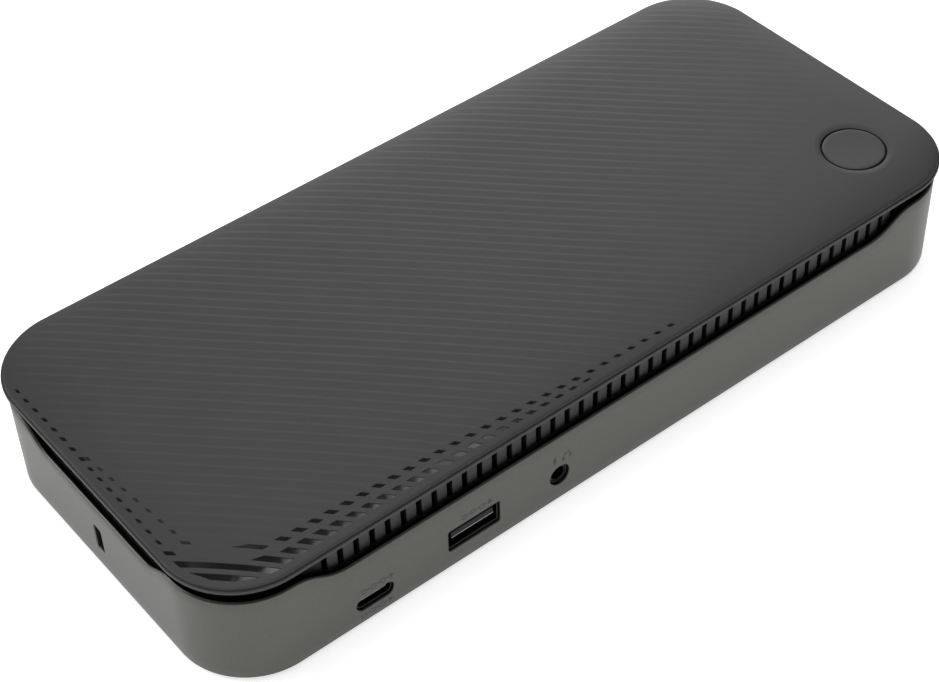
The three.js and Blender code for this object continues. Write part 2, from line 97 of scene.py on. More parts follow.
class Shape:
    """Collects vertices and faces in millimetres for one mesh object."""

    def __init__(self):
        self.points = []
        self.faces = []
        self.slots = []

    def add(self, points):
        start = len(self.points)
        self.points.extend(tuple(p) for p in points)
        return list(range(start, len(self.points)))

    def face(self, corners, slot=0):
        self.faces.append(tuple(corners))
        self.slots.append(slot)

    def bridge(self, loop_a, loop_b, slot=0):
        """Quads between two closed loops with the same number of points."""
        for i in range(len(loop_a)):
            self.face((loop_a[i - 1], loop_b[i - 1], loop_b[i], loop_a[i]), slot)

    def skin(self, rings, slot=0, caps=CAPPED):
        """A surface through successive rings of points, with its ends closed or left open."""
        loops = [self.add(ring) for ring in rings]
        for loop_a, loop_b in zip(loops, loops[1:]):
            self.bridge(loop_a, loop_b, slot)
        if caps[0]:
            self.face(loops[0], slot)
        if caps[1]:
            self.face(reversed(loops[-1]), slot)
        return loops

    def build(self, name, materials, replaces=(), sharp_degrees=32, body="base"):
        """The mesh object itself, riding on a body and standing in for the nodes it replaces.
        Its materials are given by their names in MATERIALS."""
        mesh = bpy.data.meshes.new(name)
        mesh.from_pydata([Vector(p) * MM for p in self.points], [], self.faces)
        for key in materials:
            mesh.materials.append(MATERIALS[key])
        mesh.polygons.foreach_set("material_index", self.slots)
        tidy = bmesh.new()
        tidy.from_mesh(mesh)
        bmesh.ops.remove_doubles(tidy, verts=tidy.verts, dist=2e-7)
        bmesh.ops.recalc_face_normals(tidy, faces=tidy.faces)
        tidy.to_mesh(mesh)
        tidy.free()
        mesh.shade_smooth()
        mesh.set_sharp_from_angle(angle=math.radians(sharp_degrees))
        piece = bpy.data.objects.new(name, mesh)
        bpy.context.scene.collection.objects.link(piece)
        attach(piece, body)
        if replaces:
            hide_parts(*replaces)
        return piece


def triangulate(points, loops, keep):
    """Delaunay triangles over points where keep(x, y), with loops of indices as fixed edges.
    Gives the points, the input indices behind each, and the triangles with their middles."""
    edges = [(loop[i - 1], loop[i]) for loop in loops for i in range(len(loop))]
    result = delaunay_2d_cdt([Vector(p) for p in points], edges, [], 0, 1e-6, True)
    verts, faces, sources = result[0], result[2], result[3]
    kept = []
    for face in faces:
        x = sum(verts[i].x for i in face) / len(face)
        y = sum(verts[i].y for i in face) / len(face)
        if keep(x, y):
            kept.append((face, x, y))
    return verts, sources, kept


# ---- Outlines ----


def rounded_rect(width, height, radius, steps=6):
    """A rounded rectangle round the origin, counter-clockwise."""
    x, y = width / 2 - radius, height / 2 - radius
    points = []
    for quarter, (cx, cy) in enumerate([(x, y), (-x, y), (-x, -y), (x, -y)]):
        for step in range(steps + 1):
            angle = (quarter + step / steps) * math.pi / 2
            points.append((cx + radius * math.cos(angle), cy + radius * math.sin(angle)))
    return points


def outline(inset, steps=24, z=None):
    """The lid's outline moved inwards by inset, counter-clockwise."""
    radius = max(CORNER_RADIUS - inset, 1.5)
    points = rounded_rect(2 * (HALF_LENGTH - inset), 2 * (HALF_WIDTH - inset), radius, steps)
    return points if z is None else [(*point, z) for point in points]


def inset_at(x, y):
    """How far a point lies inside the lid's outline."""
    dx = abs(x) - CORNER_X
    dy = abs(y) - CORNER_Y
    if dx > 0 and dy > 0:
        return CORNER_RADIUS - math.hypot(dx, dy)
    return min(HALF_LENGTH - abs(x), HALF_WIDTH - abs(y))


def button_gap(x, y):
    """Distance from the button's middle."""
    return math.hypot(x - BUTTON_X, y - BUTTON_Y)


def circle(x, y, radius, count, z=None):
    """Points round a circle, at height z if one is given."""
    points = []
    for i in range(count):
        angle = 2 * math.pi * i / count
        point = (x + radius * math.cos(angle), y + radius * math.sin(angle))
        points.append(point if z is None else (*point, z))
    return points


def smoothstep(low, high, value):
    """A smooth rise from 0 at low to 1 at high."""
    t = min(max((value - low) / (high - low), 0.0), 1.0)
    return t * t * (3 - 2 * t)


# ---- Materials ----


def new_material(name):
    """A new material with its nodes, links and shader."""
    material = bpy.data.materials.new(name)
    material.use_nodes = True
    nodes = material.node_tree.nodes
    return material, nodes, material.node_tree.links, nodes["Principled BSDF"]


def noise(nodes, links, scale, detail=3.0, roughness=0.55):
    """Noise over the piece, scale being features per metre."""
    texture = nodes.new("ShaderNodeTexNoise")
    texture.inputs["Scale"].default_value = scale
    texture.inputs["Detail"].default_value = detail
    texture.inputs["Roughness"].default_value = roughness
    place = nodes.new("ShaderNodeTexCoord").outputs["Object"]
    links.new(place, texture.inputs["Vector"])
    return texture.outputs["Fac"]


def ramp(nodes, links, source, low, high, start=0.35, end=0.65):
    """A colour ramp between two linear grey or RGB values."""
    stage = nodes.new("ShaderNodeValToRGB")
    for element, place, value in zip(stage.color_ramp.elements, (start, end), (low, high)):
        element.position = place
        element.color = (*(value if isinstance(value, tuple) else (value,) * 3), 1)
    links.new(source, stage.inputs["Fac"])
    return stage.outputs["Color"]


def bump(nodes, links, height, shader, distance):
    stage = nodes.new("ShaderNodeBump")
    stage.inputs["Distance"].default_value = distance
    links.new(height, stage.inputs["Height"])
    links.new(stage.outputs["Normal"], shader.inputs["Normal"])


def surface(name, dark, light, rough, metallic=0.0, grain=2500, depth=1e-5, patch=60, specular=0.5):
    """A moulded, sprayed or blasted surface: large soft patches of colour, fine grain in
    roughness and relief."""
    material, nodes, links, shader = new_material(name)
    shader.inputs["Metallic"].default_value = metallic
    shader.inputs["Specular IOR Level"].default_value = specular
    links.new(ramp(nodes, links, noise(nodes, links, patch), dark, light),
              shader.inputs["Base Color"])
    fine = noise(nodes, links, grain, 4.0, 0.6)
    links.new(ramp(nodes, links, fine, rough[0], rough[1]), shader.inputs["Roughness"])
    bump(nodes, links, fine, shader, depth)
    return material


def band_metal():
    """Gunmetal: fine-grained blasted aluminium, faintly warm."""
    material, nodes, links, shader = new_material("band_metal")
    shader.inputs["Metallic"].default_value = 1.0
    fine = noise(nodes, links, 5200, 5.0, 0.7)
    tone = ramp(nodes, links, fine, (0.077, 0.077, 0.071), (0.128, 0.127, 0.119), 0.3, 0.7)
    links.new(tone, shader.inputs["Base Color"])
    links.new(ramp(nodes, links, fine, 0.36, 0.48), shader.inputs["Roughness"])
    bump(nodes, links, fine, shader, 1.2e-5)
    return material


# by the CAD nodes' slots, and a few more
MATERIALS = {
    "lid_plastic": surface("lid_plastic", 0.032, 0.0355, (0.50, 0.60), grain=3500, depth=0.8e-5),
    "button": surface("button_plastic", 0.032, 0.037, (0.46, 0.56), grain=5200, depth=0.5e-5),
    "gloss": surface("gloss_inlay", 0.006, 0.009, (0.07, 0.11), grain=900, depth=0.2e-5),
    # the slotted frame's plastic is the lid's plastic made darker: painted shade for its recessed
    # place under the lid
    "vent_plastic": surface("vent_plastic", 0.024, 0.028, (0.52, 0.62), grain=3500, depth=0.8e-5),
    "band_metal": band_metal(),
    "black_plastic": surface("black_plastic", 0.008, 0.012, (0.45, 0.60), grain=2600,
                             depth=1.2e-5, specular=0.2),
    "rubber": surface("foot_rubber", 0.014, 0.020, (0.80, 0.92), grain=1800, depth=2.0e-5),
    "steel": surface("plated_steel", 0.42, 0.50, (0.24, 0.38), 1.0, grain=1500, depth=0.4e-5),
    "dark_steel": surface("dark_steel", 0.035, 0.050, (0.30, 0.42), 1.0, grain=1500,
                          depth=0.4e-5),
    "gold_contact": surface("gold_contact", (0.62, 0.40, 0.12), (0.72, 0.48, 0.17), (0.20, 0.32), 1.0),
    "laminate": surface("board_laminate", (0.008, 0.045, 0.022), (0.012, 0.070, 0.034),
                        (0.30, 0.45), patch=180),
    "chip": surface("chip_epoxy", 0.012, 0.018, (0.50, 0.65)),
    "silicone": surface("pad_silicone", 0.42, 0.50, (0.70, 0.85)),
    "bare_aluminium": surface("bare_aluminium", 0.58, 0.68, (0.28, 0.42), 1.0),
    "light_plastic": surface("light_plastic", 0.45, 0.55, (0.45, 0.60)),
    "print": surface("printed_ink", 0.026, 0.034, (0.55, 0.70), grain=1500, depth=0.2e-5),
}


# ---- Lid ----

RIM_INSET = 1.05  # inside this the lid is a ridged sheet, outside it a smooth rim
RIDGE_START = 2.2  # where the ridges begin to rise out of the smooth border
RIDGE_PITCH = 2.53
RIDGE_PHASE = -0.8
RIDGE_HEIGHT = 0.055
RIDGE_RISE = 0.86  # share of a ridge's width over which it rises; then it drops
RIDGE_FADE = (15, 85)  # where the ridges fade out towards the front right
RIDGE_SAMPLES = (0.0, 0.12, 0.3, 0.52, 0.72, 0.88)
ALONG_STEP = 2.0
DASH_DEPTH = 0.14
DASH_WALL = 0.07
SMALLEST_DASH = 0.5  # square millimetres
DISH_RADIUS = 9.2
DISH_DEPTH = 0.18
CROWN_DROP, CROWN_REACH = 1.35, 5.5  # how far the lid falls towards its border, and how soon
EDGE_DROP, EDGE_REACH = 0.55, 0.35  # the same for its rounded edge
RIM_CLEARANCE, HOLE_CLEARANCE, DASH_CLEARANCE = 0.2, 0.25, 0.12  # kept free of ridge points

# The rows of dashes. Each runs along the lid's edge at one end of the ridges ("exit" ends at
# the front, "entry" at the left), over a span of the coordinate across the ridges, with the
# distance from the edge and half the row's width at both ends of that span, and half the
# dashes' size across the ridges.
DASH_ROWS = [
    ("exit", (-92.4, -91.4), (4.3, 4.3), (2.0, 2.0), 0.72),
    ("exit", (-91.3, -79.4), (3.9, 3.6), (1.55, 1.05), 0.72),
    ("exit", (-79.4, -58.0), (3.6, 3.05), (1.05, 0.65), 0.70),
    ("exit", (-58.0, -37.9), (3.05, 2.3), (0.65, 0.25), 0.60),
    ("exit", (-89.8, -88.9), (8.9, 8.9), (1.2, 1.2), 0.55),
    ("exit", (-87.7, -61.9), (7.5, 6.0), (0.85, 0.6), 0.55),
    ("exit", (-61.9, -36.0), (6.0, 3.65), (0.6, 0.45), 0.52),
    ("exit", (-36.0, -20.0), (3.65, 3.1), (0.45, 0.4), 0.50),
    ("entry", (-92.4, -91.4), (2.6, 2.6), (0.8, 0.8), 0.50),
    ("entry", (-91.3, -71.0), (2.5, 2.5), (0.35, 0.35), 0.50),
    ("entry", (-71.0, -51.3), (2.7, 2.3), (0.5, 0.35), 0.52),
    ("entry", (-89.8, -88.9), (6.3, 6.3), (0.75, 0.75), 0.40),
    ("entry", (-87.7, -69.0), (6.1, 3.5), (0.35, 0.35), 0.48),
]
CORNER_DASHES = (-97.2, -93.0)  # span across the ridges where a dash runs right round the corner
CORNER_DASH_INSET = 1.9
CORNER_DASH_HALF = 0.72  # half such a dash's size across the ridges

LIP_TOP = 28.72  # a thin lip runs round the lid's edge, just outside a fine groove
RIM_STEPS = 32
HOLE_POINTS = 72
BORDER_RINGS = (1.5, 2.2, 3.0)  # insets where extra points follow the lid's curved border
DISH_RINGS = (8.3, 8.8, DISH_RADIUS, 9.8)  # radii where extra points follow the dish
UNDERSIDE_INSET = 14.0
UNDERSIDE_Z = LID_TOP - 1.8


def crown(inset):
    """Height of the lid's top at a distance inside its outline, ridges left out."""
    border = CROWN_DROP * math.exp(-inset / CROWN_REACH)
    return LID_TOP - border - EDGE_DROP * math.exp(-inset / EDGE_REACH)


def across(x, y):
    """Coordinate across the ridges, which run from back left to front right."""
    return (x + y) / math.sqrt(2)


def along(x, y):
    """Coordinate along the ridges."""
    return (x - y) / math.sqrt(2)


def from_ridge(w, v):
    """The point on the lid's plan at w across and v along the ridges."""
    return (w + v) / math.sqrt(2), (w - v) / math.sqrt(2)


def wave(w, v):
    """How far the ridges wander from straight lines."""
    return 0.16 * math.sin(v / 13 + 0.9 * math.sin(w / 11)) + 0.05 * math.sin(v / 4.1 + w)


def ridge_relief(x, y):
    """Shingled ridges: each rises slowly, then drops in a short step. They fade out towards the
    front right, around the button and at the rim."""
    w, v = across(x, y), along(x, y)
    phase = ((w + wave(w, v) - RIDGE_PHASE) / RIDGE_PITCH) % 1.0
    height = phase / RIDGE_RISE if phase < RIDGE_RISE else (1 - phase) / (1 - RIDGE_RISE)
    fade = 1 - 0.9 * smoothstep(*RIDGE_FADE, 0.75 * x - 0.9 * y)
    fade *= smoothstep(DISH_RADIUS, DISH_RADIUS + 6, button_gap(x, y))
    fade *= smoothstep(RIDGE_START, RIDGE_START + 1.8, inset_at(x, y))
    return RIDGE_HEIGHT * (height - 1) * fade


def ridge_grid():
    """Points on lines that follow the ridges, as many lines to a ridge as its profile needs."""
    reach = HALF_LENGTH + HALF_WIDTH
    count = math.ceil(reach / RIDGE_PITCH)
    for index in range(-count, count):
        for sample in RIDGE_SAMPLES:
            line = RIDGE_PHASE + (index + sample) * RIDGE_PITCH
            for step in range(-math.ceil(reach / ALONG_STEP), math.ceil(reach / ALONG_STEP)):
                v = step * ALONG_STEP
                yield line - wave(line, v), v


def dish_relief(x, y):
    """The shallow dish around the button."""
    return -DISH_DEPTH * (1 - smoothstep(HOLE_RADIUS, DISH_RADIUS, button_gap(x, y)))


def lid_height(x, y):
    """Height of the lid's top surface."""
    return crown(inset_at(x, y)) + ridge_relief(x, y) + dish_relief(x, y)


def deepest(w):
    """The place along the ridge line w that lies deepest inside the outline."""
    low, high = -HALF_LENGTH - HALF_WIDTH, HALF_LENGTH + HALF_WIDTH
    for _ in range(60):
        a, b = low + (high - low) / 3, high - (high - low) / 3
        if inset_at(*from_ridge(w, a)) < inset_at(*from_ridge(w, b)):
            low = a
        else:
            high = b
    return (low + high) / 2


def crossing(w, limit, end):
    """Where the ridge line w comes within limit of the outline, at one of its ends."""
    near = deepest(w)
    far = near + (1 if end == "exit" else -1) * (HALF_LENGTH + HALF_WIDTH)
    for _ in range(40):
        v = (near + far) / 2
        if inset_at(*from_ridge(w, v)) > limit:
            near = v
        else:
            far = v
    return near


def dash_outlines():
    """Corners of every glossy dash, counter-clockwise or clockwise, on the lid's plan."""
    dashes = []
    first = math.ceil((CORNER_DASHES[0] - RIDGE_PHASE) / RIDGE_PITCH)
    last = math.floor((max(row[1][1] for row in DASH_ROWS) - RIDGE_PHASE) / RIDGE_PITCH)
    for index in range(first, last + 1):
        w = RIDGE_PHASE + index * RIDGE_PITCH
        sides = (w - CORNER_DASH_HALF, w + CORNER_DASH_HALF)
        if CORNER_DASHES[0] <= w <= CORNER_DASHES[1]:
            ends = [(sides[0], "entry"), (sides[1], "entry"), (sides[1], "exit"), (sides[0], "exit")]
            dashes.append([from_ridge(s, crossing(s, CORNER_DASH_INSET, end)) for s, end in ends])
        for end, span, centre, half, size in DASH_ROWS:
            if not span[0] <= w < span[1]:
                continue
            sides = (w - size, w + size)
            t = (w - span[0]) / (span[1] - span[0])
            middle = centre[0] + t * (centre[1] - centre[0])
            reach = half[0] + t * (half[1] - half[0])
            corners = [(sides[0], middle - reach), (sides[0], middle + reach),
                       (sides[1], middle + reach), (sides[1], middle - reach)]
            dashes.append([from_ridge(s, crossing(s, limit, end)) for s, limit in corners])
    return [d for d in dashes if abs(area(d)) > SMALLEST_DASH]


def area(corners):
    """Signed area of an outline."""
    return sum(corners[i - 1][0] * corners[i][1] - corners[i][0] * corners[i - 1][1]
               for i in range(len(corners))) / 2


def shrink(corners, amount):
    """A convex outline moved inwards towards its middle by about amount on each side."""
    cx = sum(x for x, _ in corners) / len(corners)
    cy = sum(y for _, y in corners) / len(corners)
    count = len(corners)
    lines = []
    for i in range(count):
        a, b = Vector(corners[i]), Vector(corners[(i + 1) % count])
        normal = Vector((a.y - b.y, b.x - a.x)).normalized()
        if normal.dot(Vector((cx, cy)) - a) < 0:
            normal = -normal
        lines.append((normal, normal.dot(a) + amount))
    moved = []
    for i in range(count):
        (n1, c1), (n2, c2) = lines[i - 1], lines[i]
        det = n1.x * n2.y - n1.y * n2.x
        moved.append(((c1 * n2.y - c2 * n1.y) / det, (n1.x * c2 - n2.x * c1) / det))
    return moved


def subdivide(corners, step):
    """The outline with extra points so that no side is longer than step."""
    points = []
    for i, a in enumerate(corners):
        b = corners[(i + 1) % len(corners)]
        parts = max(1, math.ceil(math.dist(a, b) / step))
        points.extend((a[0] + (b[0] - a[0]) * k / parts, a[1] + (b[1] - a[1]) * k / parts)
                      for k in range(parts))
    return points


class OutlineTest:
    """Tells whether a point lies in any of many outlines, through a coarse grid of their boxes."""

    CELL = 6.0

    def __init__(self, outlines):
        self.cells = {}
        for corners in outlines:
            xs = [x for x, _ in corners]
            ys = [y for _, y in corners]
            for i in range(int(min(xs) // self.CELL), int(max(xs) // self.CELL) + 1):
                for j in range(int(min(ys) // self.CELL), int(max(ys) // self.CELL) + 1):
                    self.cells.setdefault((i, j), []).append(corners)

    def inside(self, x, y):
        cell = (int(x // self.CELL), int(y // self.CELL))
        return any(inside_polygon(x, y, corners) for corners in self.cells.get(cell, ()))

    def near(self, x, y, gap):
        """Whether the point lies in an outline or closer to one than about gap."""
        return any(self.inside(x + dx, y + dy) for dx in (-gap, 0, gap) for dy in (-gap, 0, gap))


def inside_polygon(x, y, corners):
    """Whether an outline holds the point."""
    odd = False
    for i, (bx, by) in enumerate(corners):
        ax, ay = corners[i - 1]
        if (ay > y) != (by > y) and x < (bx - ax) * (y - ay) / (by - ay) + ax:
            odd = not odd
    return odd


def make_lid():
    """The top cover: a ridged sheet with glossy recessed dashes, a smooth rim and lip, the dished
    hole for the button, and its underside."""
    shape = Shape()
    rim = outline(RIM_INSET, RIM_STEPS)
    hole_radius = HOLE_RADIUS + HOLE_ROUNDING
    hole = circle(BUTTON_X, BUTTON_Y, hole_radius, HOLE_POINTS)
    dashes = dash_outlines()
    outer = [subdivide(d, ALONG_STEP) for d in dashes]
    inner = [subdivide(shrink(d, DASH_WALL), ALONG_STEP) for d in dashes]
    around = OutlineTest([shrink(d, -DASH_CLEARANCE) for d in dashes])
    floor = OutlineTest([shrink(d, DASH_WALL * 0.98) for d in dashes])

    points, loops = [], []
    for loop in [rim, hole] + outer + inner:
        loops.append(list(range(len(points), len(points) + len(loop))))
        points.extend(loop)
    for w, v in ridge_grid():
        x, y = from_ridge(w, v)
        clear = button_gap(x, y) > hole_radius + HOLE_CLEARANCE
        if clear and inset_at(x, y) > RIM_INSET + RIM_CLEARANCE and not around.inside(x, y):
            points.append((x, y))
    for inset in BORDER_RINGS:
        points.extend((x, y) for x, y in outline(inset, RIM_STEPS) if not around.inside(x, y))
    for radius in DISH_RINGS:
        points.extend(circle(BUTTON_X, BUTTON_Y, radius, HOLE_POINTS))

    def keep(x, y):
        return inset_at(x, y) > RIM_INSET - 1e-4 and button_gap(x, y) > hole_radius * 0.9985

    flat, sources, faces = triangulate(points, loops, keep)
    # the points of the inner outlines lie on the dashes' floors
    first_low = loops[2 + len(outer)][0]
    last_low = loops[-1][-1]
    ids = []
    for p, source in zip(flat, sources):
        low = any(first_low <= i <= last_low for i in source)
        z = crown(inset_at(p.x, p.y)) - DASH_DEPTH if low else lid_height(p.x, p.y)
        ids.extend(shape.add([(p.x, p.y, z)]))
    for face, x, y in faces:
        shape.face([ids[i] for i in face], 1 if floor.inside(x, y) else 0)
    add_rim(shape)
    add_hole_wall(shape, hole)
    shape.build("lid_cover", ["lid_plastic", "gloss"], ["top_cover"], 24)


def add_rim(shape):
    """The lid outside its ridged sheet: rim, lip and underside, down to the sheet's back."""
    rows = [(inset, crown(inset)) for inset in (RIM_INSET, 0.85, 0.65, 0.5)]
    rows += [(0.40, LIP_TOP - 0.02), (0.33, LIP_TOP - 0.08), (0.26, LIP_TOP - 0.02),
             (0.16, LIP_TOP), (0.06, LIP_TOP - 0.06), (0.0, LIP_TOP - 0.2), (0.0, 27.96),
             (0.05, 27.86), (0.15, LID_EDGE_Z), (6.0, LID_EDGE_Z), (6.6, LID_TOP - 2.0),
             (UNDERSIDE_INSET, UNDERSIDE_Z)]
    shape.skin([outline(inset, RIM_STEPS, z) for inset, z in rows], caps=OPEN)
    inner = outline(UNDERSIDE_INSET, RIM_STEPS)
    hole = circle(BUTTON_X, BUTTON_Y, HOLE_RADIUS, HOLE_POINTS)
    loops = [list(range(len(inner))), list(range(len(inner), len(inner) + len(hole)))]

    def keep(x, y):
        clear = button_gap(x, y) > HOLE_RADIUS * 0.998
        return clear and inset_at(x, y) > UNDERSIDE_INSET - 1e-4

    flat, _, faces = triangulate(inner + hole, loops, keep)
    ids = shape.add((p.x, p.y, UNDERSIDE_Z) for p in flat)
    for face, _, _ in faces:
        shape.face([ids[i] for i in face])


def add_hole_wall(shape, hole):
    """The wall of the button's hole, its top edge rounded over."""
    rings = [[(x, y, lid_height(x, y)) for x, y in hole]]
    for radius, drop in ((HOLE_RADIUS + 0.09, 0.05), (HOLE_RADIUS + 0.02, 0.14),
                         (HOLE_RADIUS, 0.28)):
        rings.append([(*point, lid_height(*point) - drop)
                      for point in circle(BUTTON_X, BUTTON_Y, radius, HOLE_POINTS)])
    rings.append(circle(BUTTON_X, BUTTON_Y, HOLE_RADIUS, HOLE_POINTS, UNDERSIDE_Z))
    shape.skin(rings, caps=OPEN)


# ---- Button ----

DOME_LOW, DOME_HIGH = node_box("button_dome")
FLANGE_RADIUS, FLANGE_BOTTOM, FLANGE_TOP = 8.5, 27.7, 28.5
STEM_RADIUS = 2


def lathe(shape, x, y, profile, count=72):
    """A solid turned about a vertical axis. Its profile runs from axis to axis, or is closed."""
    closed = profile[0] == profile[-1]
    rings = [circle(x, y, max(radius, 0.02), count, z) for radius, z in profile]
    shape.skin(rings, caps=(not closed, not closed))


def make_button():
    """The round power button: dished top, rounded edge, flange and stem."""
    shape = Shape()
    top = BUTTON_TOP - 0.1
    rows = [(0, top - 0.10), (2, top - 0.095), (4, top - 0.07), (5.8, top - 0.03), (6.7, top),
            (6.95, top - 0.01), (7.12, top - 0.05), (7.24, top - 0.13),
            (BUTTON_RADIUS, top - 0.28), (BUTTON_RADIUS, FLANGE_TOP), (FLANGE_RADIUS, FLANGE_TOP),
            (FLANGE_RADIUS, FLANGE_BOTTOM), (STEM_RADIUS, FLANGE_BOTTOM),
            (STEM_RADIUS, BUTTON_LOW.z), (0, BUTTON_LOW.z)]
    lathe(shape, BUTTON_X, BUTTON_Y, rows)
    shape.build("button_cap", ["button"], ["power_button"], 28, "power_button")


def make_return_dome():
    """The rubber dome that lifts the button: a thin cone between a foot and a collar."""
    shape = Shape()
    low, high = DOME_LOW.z, DOME_HIGH.z
    rows = [(6.6, low), (6.55, low + 0.5), (6.15, low + 1.1), (4.85, high - 1.1),
            (4.62, high - 0.7), (4.6, high), (3.7, high), (3.75, high - 0.8), (5.5, low + 1.2),
            (5.7, low + 0.6), (5.7, low), (6.6, low)]
    lathe(shape, BUTTON_X, BUTTON_Y, rows, 60)
    piece = shape.build("return_dome", ["rubber"], ["button_dome"])
    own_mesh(piece)


# ---- Slotted frame under the lid ----

_, VENT_HIGH = node_box("vent_frame")
VENT_OUTER = HALF_LENGTH - VENT_HIGH.x
VENT_INNER = 5.4
VENT_TOP = VENT_HIGH.z
VENT_BOTTOM = 18.8
SLOT_BOTTOM = 20.0
SLOT_TOP = 26.6
SLOT_WIDTH = 1.35
SLOT_PITCH = 3.905
FRONT_SLOTS = 42
FRONT_SHIFT = 1.9
SIDE_SLOTS = 11
RIB_EDGE = 0.12


def vent_ring(shape, z_low, z_high):
    """A closed ring that follows the lid's outline."""
    rows = [(VENT_INNER, z_high), (VENT_OUTER, z_high), (VENT_OUTER, z_low), (VENT_INNER, z_low)]
    loops = [shape.add(outline(inset, 24, z)) for inset, z in rows]
    for i, loop in enumerate(loops):
        shape.bridge(loops[i - 1], loop)


def rib(shape, low, high, edge, place):
    """One rib between two slots, its outer edges rounded, its sides and back black plastic as
    painted shade inside the slots. place turns a distance along the edge and one outwards from
    the middle into x and y."""
    face, back = edge - VENT_OUTER, edge - VENT_INNER
    r = RIB_EDGE
    section = [(low + r, face), (high - r, face), (high - 0.3 * r, face - 0.3 * r),
               (high, face - r), (high, back), (low, back), (low, face - r),
               (low + 0.3 * r, face - 0.3 * r)]
    loops = [shape.add((*place(along_edge, out), z) for along_edge, out in section)
             for z in (SLOT_BOTTOM, SLOT_TOP)]
    for i in range(len(section)):
        j = (i + 1) % len(section)
        # the rib's sides and back take black plastic: painted shade inside the slots
        shape.face((loops[0][i], loops[0][j], loops[1][j], loops[1][i]), 1 if 3 <= i <= 5 else 0)


def corner_wall(shape, end_x, end_y, sx, sy):
    """The plain wall from the last front or rear slot round to the first side slot, all black
    plastic as painted shade for the dark gap at the corner.
    """
    path = [(end_x, None, 0.0)]
    path += [(CORNER_X, CORNER_Y, math.pi / 2 * step / 16) for step in range(17)]
    path += [(None, end_y, math.pi / 2)]
    rings = []
    for x, y, turn in path:
        section = []
        for inset, z in ((VENT_OUTER, SLOT_BOTTOM), (VENT_OUTER, SLOT_TOP),
                         (VENT_INNER, SLOT_TOP), (VENT_INNER, SLOT_BOTTOM)):
            reach = CORNER_RADIUS - inset
            px = HALF_LENGTH - inset if x is None else x + reach * math.sin(turn)
            py = HALF_WIDTH - inset if y is None else y + reach * math.cos(turn)
            section.append((sx * px, sy * py, z))
        rings.append(section)
    # black plastic over the whole corner wall: painted shade
    shape.skin(rings, 1)


def make_vents():
    """The slotted frame between the lid and the band."""
    shape = Shape()
    vent_ring(shape, SLOT_TOP, VENT_TOP)
    vent_ring(shape, VENT_BOTTOM, SLOT_BOTTOM)
    half = SLOT_WIDTH / 2
    front = [FRONT_SHIFT + (i - (FRONT_SLOTS - 1) / 2) * SLOT_PITCH for i in range(FRONT_SLOTS)]
    sides = [(i - (SIDE_SLOTS - 1) / 2) * SLOT_PITCH for i in range(SIDE_SLOTS)]
    for sign in (-1, 1):
        for left, right in zip(front, front[1:]):
            rib(shape, left + half, right - half, HALF_WIDTH, lambda a, out: (a, sign * out))
        for left, right in zip(sides, sides[1:]):
            rib(shape, left + half, right - half, HALF_LENGTH, lambda a, out: (sign * out, a))
        for sx, end_x in ((-1, -front[0] + half), (1, front[-1] + half)):
            corner_wall(shape, end_x, sides[-1] + half, sx, sign)
    # black_plastic here is painted shade on the slots' sides and backs and on the corner walls
    # vent_plastic is the lid's plastic darkened as painted shade for the recessed frame
    shape.build("vent_grille", ["vent_plastic", "black_plastic"], ["vent_frame"], 35)


# ---- Sockets ----

FRONT, REAR, LEFT = -1, 1, 0
MOUTH_SETBACK = 0.6
CUTOUT_PLAY = 0.2
SHELL_WALL = 0.3


def mouth_outline(mouth, g):
    """Outline of a socket's mouth, grown by g on every side."""
    if mouth == "pill":
        return rounded_rect(9 + 2 * g, 3.2 + 2 * g, 1.59 + g, 10)
    if mouth == "flat":
        return rounded_rect(13.3 + 2 * g, 5.6 + 2 * g, max(0.4 + g, 0.12), 4)
    if mouth == "round":
        return circle(0, 0, 2.45 + g, 40)
    if mouth == "barrel":
        return circle(0, 0, 3.7 + g, 40)
    if mouth == "network":
        return rounded_rect(16 + 2 * g, 13.3 + 2 * g, max(0.3 + g, 0.1), 3)
    if mouth == "tapered":
        low = 0.6 + g * 0.4
        half = [(7.4 + g, 2.9 + g), (7.4 + g, -low), (5.6 + 0.8 * g, -2.9 - g)]
        return [(-x, z) for x, z in half] + half[::-1]
    return [(-8.4 - g, 2.9 + g), (-8.4 - g, -2.9 - g), (6.2 + 0.4 * g, -2.9 - g),
            (8.4 + g, -0.7 - 0.4 * g), (8.4 + g, 2.9 + g)]


# name, side, x, z, mouth, depth; the same as in the CAD
SOCKETS = [
    ("front_usb_c", FRONT, -68.2, 6.6, "pill", 8),
    ("front_usb_a", FRONT, -42.45, 8.9, "flat", 14),
    ("laptop_usb_c", REAR, 62, 7, "pill", 8),
    ("video_flat_1", REAR, 42, 8.2, "tapered", 12),
    ("video_flat_2", REAR, 21.5, 8.2, "tapered", 12),
    ("video_notched_1", REAR, 0, 8.2, "notched", 14),
    ("video_notched_2", REAR, -21.5, 8.2, "notched", 14),
    ("rear_usb_a_1", REAR, -63, 8.9, "flat", 14),
    ("rear_usb_a_2", REAR, -79, 8.9, "flat", 14),
]
JACK = ("audio_jack", FRONT, -19.3, 8.2, "round", 12)
INLET = ("power_inlet", REAR, 78.5, 10.2, "barrel", 12)
NETWORK = ("network", REAR, -42.5, 11.55, "network", 18)
LOCK_Y, LOCK_Z, LOCK_WIDTH, LOCK_HEIGHT = 0.6, 10.3, 2.8, 7.0


class Face:
    """A place on the band's front or rear, seen from outside: u to the right, v up, depth
    inwards."""

    def __init__(self, side, x, z):
        self.side = side
        self.x = x
        self.z = z

    def point(self, u, v, depth):
        """A point by that place; the rear is the front turned half round."""
        return (self.x - self.side * u, self.side * (FACE_Y - depth), self.z + v)


def tube(shape, face, sections, slot=0, caps=OPEN):
    """A surface through outlines at given depths: sections holds (outline, depth) pairs."""
    rings = [[face.point(u, v, depth) for u, v in points] for points, depth in sections]
    return shape.skin(rings, slot, caps)


